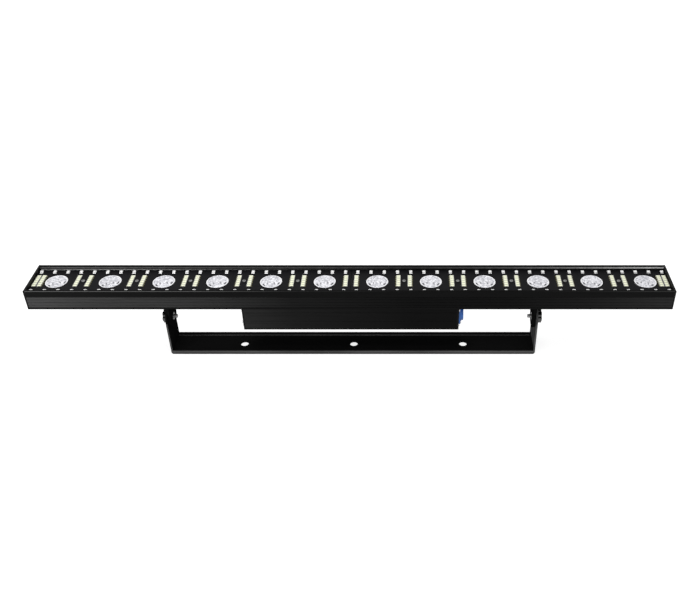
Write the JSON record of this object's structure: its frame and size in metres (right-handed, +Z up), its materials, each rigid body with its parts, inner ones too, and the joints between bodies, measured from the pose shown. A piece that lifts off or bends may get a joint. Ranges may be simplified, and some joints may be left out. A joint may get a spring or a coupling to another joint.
{
  "type": "led strip batten",
  "caption": "Long slim stage light bar of lensed and flat LEDs in a ribbed metal housing, tilting on a U-shaped floor yoke with clamp knobs.",
  "frame": {"origin": "on the floor, under the middle of the yoke's base", "axes": "+X along the bar, -Y to the side that faces the audience, +Z up"},
  "size_m": [1, 0.0736, 0.1337],
  "materials": {
    "yoke_paint": "satin black powder coat",
    "bracket_paint": "satin black powder coat",
    "housing_metal": "black anodised extrusion, fine lengthwise grain",
    "box_metal": "black anodised extrusion, fine lengthwise grain",
    "end_plate_paint": "satin black",
    "box_end_paint": "satin black",
    "board_black": "black solder mask",
    "lens_clear": "clear moulded acrylic",
    "screw_steel": "bright zinc",
    "screw_black": "black oxide",
    "zinc_steel": "bright zinc",
    "rgb_led": "white package",
    "white_led": "white package with pale phosphor",
    "emitter": "phosphor dome on ceramic",
    "black_plastic": "moulded",
    "knob_plastic": "moulded, fine texture",
    "latch_plastic": "moulded",
    "blue_plastic": "moulded",
    "grey_plastic": "moulded",
    "panel_plastic": "moulded",
    "button_plastic": "moulded",
    "window_glass": "tinted clear",
    "brass": "bright",
    "aluminium": "mill finish",
    "circuit_green": "green solder mask",
    "transformer_tape": "yellow tape",
    "capacitor_sleeve": "shrunk sleeve",
    "rubber": "moulded",
    "lead_sheath": "sheath"
  },
  "bodies": {
    "yoke": {"yoke": "yoke_paint"},
    "lamp": {"housing": "housing_metal", "end_plate_left": "end_plate_paint", "end_plate_right": "end_plate_paint", "led_board_left": "board_black", "led_board_right": "board_black", "board_screws": "screw_steel", "end_plate_screws": "screw_black", "mounting_screws": "screw_steel", "driver_end_screws": "screw_steel", "connector_screws": "screw_steel", "rgb_leds": "rgb_led", "white_leds": "white_led", "lens_holders": "black_plastic", "power_leds": "emitter", "power_led_boards": "aluminium", "board_standoffs": "brass", "hinge_bracket_left": "bracket_paint", "hinge_bracket_right": "bracket_paint", "clamp_nuts": "screw_black", "driver_box": "box_metal", "driver_end_plate_left": "box_end_paint", "driver_end_plate_right": "box_end_paint", "power_inlet": "blue_plastic", "power_outlet": "grey_plastic", "signal_inlet": "black_plastic", "signal_outlet": "black_plastic", "connector_contacts": "brass", "menu_panel": "panel_plastic", "menu_window": "window_glass", "control_board": "circuit_green", "supply_board": "circuit_green", "supply_transformer": "transformer_tape", "supply_capacitors": "capacitor_sleeve", "supply_heat_sink": "aluminium", "lead_grommet": "rubber", "board_lead": "lead_sheath", "lens_01": "lens_clear", "lens_02": "lens_clear", "lens_03": "lens_clear", "lens_04": "lens_clear", "lens_05": "lens_clear", "lens_06": "lens_clear", "lens_07": "lens_clear", "lens_08": "lens_clear", "lens_09": "lens_clear", "lens_10": "lens_clear", "lens_11": "lens_clear", "lens_12": "lens_clear"},
    "left_clamp_washer": {"clamp_washer_left": "zinc_steel"},
    "left_clamp_knob": {"clamp_knob_left": "knob_plastic", "clamp_stud_left": "zinc_steel"},
    "right_clamp_washer": {"clamp_washer_right": "zinc_steel"},
    "right_clamp_knob": {"clamp_knob_right": "knob_plastic", "clamp_stud_right": "zinc_steel"},
    "signal_release": {"signal_latch": "latch_plastic"},
    "button_1": {"menu_button_1": "button_plastic"},
    "button_2": {"menu_button_2": "button_plastic"},
    "button_3": {"menu_button_3": "button_plastic"},
    "button_4": {"menu_button_4": "button_plastic"}
  },
  "joints": [
    {"name": "tilt", "type": "hinge", "parent": "yoke", "child": "lamp", "pos_m": [0, 0, 0.06], "axis": [1, 0, 0], "range_deg": [-90, 90]},
    {"name": "left_clamp_travel", "type": "slide", "parent": "lamp", "child": "left_clamp_washer", "axis": [-1, 0, 0], "range_m": [0, 0.0025]},
    {"name": "left_clamp_turn", "type": "hinge", "parent": "left_clamp_washer", "child": "left_clamp_knob", "pos_m": [-0.296, 0, 0.06], "axis": [-1, 0, 0], "range_deg": [0, 900]},
    {"name": "right_clamp_travel", "type": "slide", "parent": "lamp", "child": "right_clamp_washer", "axis": [1, 0, 0], "range_m": [0, 0.0025]},
    {"name": "right_clamp_turn", "type": "hinge", "parent": "right_clamp_washer", "child": "right_clamp_knob", "pos_m": [0.296, 0, 0.06], "axis": [1, 0, 0], "range_deg": [0, 900]},
    {"name": "button_1_press", "type": "slide", "parent": "lamp", "child": "button_1", "axis": [0, -1, 0], "range_m": [0, 0.0008], "stiffness_N_per_m": 400, "springref_m": -0.0005},
    {"name": "button_2_press", "type": "slide", "parent": "lamp", "child": "button_2", "axis": [0, -1, 0], "range_m": [0, 0.0008], "stiffness_N_per_m": 400, "springref_m": -0.0005},
    {"name": "button_3_press", "type": "slide", "parent": "lamp", "child": "button_3", "axis": [0, -1, 0], "range_m": [0, 0.0008], "stiffness_N_per_m": 400, "springref_m": -0.0005},
    {"name": "button_4_press", "type": "slide", "parent": "lamp", "child": "button_4", "axis": [0, -1, 0], "range_m": [0, 0.0008], "stiffness_N_per_m": 400, "springref_m": -0.0005},
    {"name": "signal_release_press", "type": "slide", "parent": "lamp", "child": "signal_release", "axis": [1, 0, 0], "range_m": [0, 0.0015], "stiffness_N_per_m": 400, "springref_m": -0.0008}
  ],
  "couplings": [
    {"joint": "left_clamp_turn", "follows": "left_clamp_travel", "rad_per_m": 6283.2},
    {"joint": "right_clamp_turn", "follows": "right_clamp_travel", "rad_per_m": 6283.2}
  ]
}
